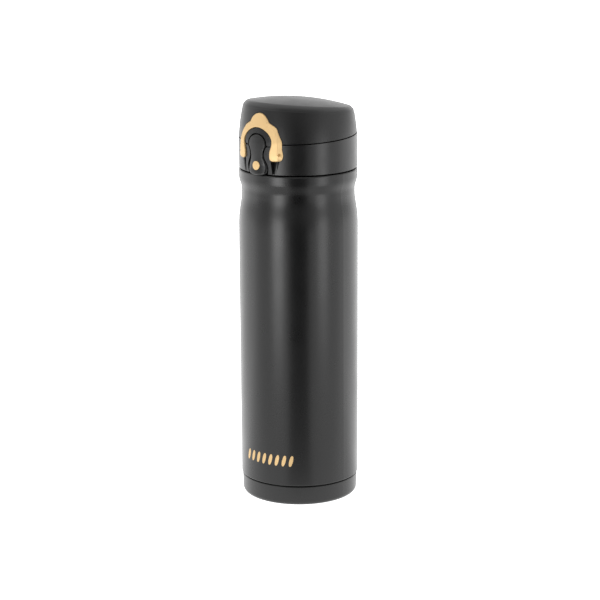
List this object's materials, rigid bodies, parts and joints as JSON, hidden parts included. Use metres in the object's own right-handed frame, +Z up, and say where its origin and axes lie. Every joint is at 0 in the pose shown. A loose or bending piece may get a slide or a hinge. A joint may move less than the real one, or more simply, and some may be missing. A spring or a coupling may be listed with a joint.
{
  "type": "vacuum flask",
  "caption": "Slim double-walled steel flask with a waisted neck, a screw-on cap, a spring-hinged domed lid, a latch button and a horseshoe lock ring.",
  "frame": {"origin": "centre of the foot's resting ring", "axes": "+Z up the flask's axis; -Y towards the latch button and lock ring; +Y towards the lid's hinge; +X to the right as the button is faced"},
  "size_m": [0.0658, 0.0698, 0.2251],
  "materials": {
    "black_steel": "satin",
    "bare_steel": "satin",
    "copper_foil": "gloss",
    "black_plastic": "matte",
    "grey_plastic": "matte",
    "silicone": "matte",
    "gold": "satin",
    "pin_steel": "satin"
  },
  "bodies": {
    "flask": {"outer_shell": "black_steel", "inner_vessel": "bare_steel", "bottom_disc": "bare_steel", "seal_plug": "bare_steel", "getter": "bare_steel", "radiation_foil": "copper_foil", "base_cover": "black_plastic"},
    "mouth_seal": {"mouth_gasket": "silicone"},
    "cap": {"collar_shell": "black_plastic", "collar_core": "grey_plastic", "spout": "grey_plastic", "front_bezel": "black_plastic", "button_pin": "pin_steel", "button_spring": "pin_steel", "hinge_pin": "pin_steel", "hinge_spring": "pin_steel"},
    "button": {"push_button": "black_plastic", "button_badge": "gold"},
    "lock": {"lock_ring": "gold"},
    "lid": {"lid_shell": "black_plastic", "lid_liner": "grey_plastic", "lid_gasket": "silicone"}
  },
  "joints": [
    {"name": "cap_rise", "type": "slide", "parent": "flask", "child": "mouth_seal", "axis": [0, 0, 1], "range_m": [0, 0.0045]},
    {"name": "cap_turn", "type": "hinge", "parent": "mouth_seal", "child": "cap", "pos_m": [0, 0, 0.195], "axis": [0, 0, 1], "range_deg": [0, 400]},
    {"name": "lid_hinge", "type": "hinge", "parent": "cap", "child": "lid", "pos_m": [0, 0.033, 0.2046], "axis": [-1, 0, 0], "range_deg": [0, 180], "deforming": ["hinge_spring"]},
    {"name": "button_press", "type": "hinge", "parent": "cap", "child": "button", "pos_m": [0, -0.0312, 0.197], "axis": [1, 0, 0], "range_deg": [0, 4], "stiffness_Nm_per_rad": 0.3, "springref_deg": -5.73, "deforming": ["button_spring"]},
    {"name": "ring_pivot", "type": "hinge", "parent": "cap", "child": "lock", "pos_m": [0, -0.0312, 0.1976], "axis": [1, 0, 0], "range_deg": [0, 12]}
  ],
  "couplings": [
    {"joint": "cap_rise", "follows": "cap_turn", "m_per_rad": 0.00063662}
  ]
}
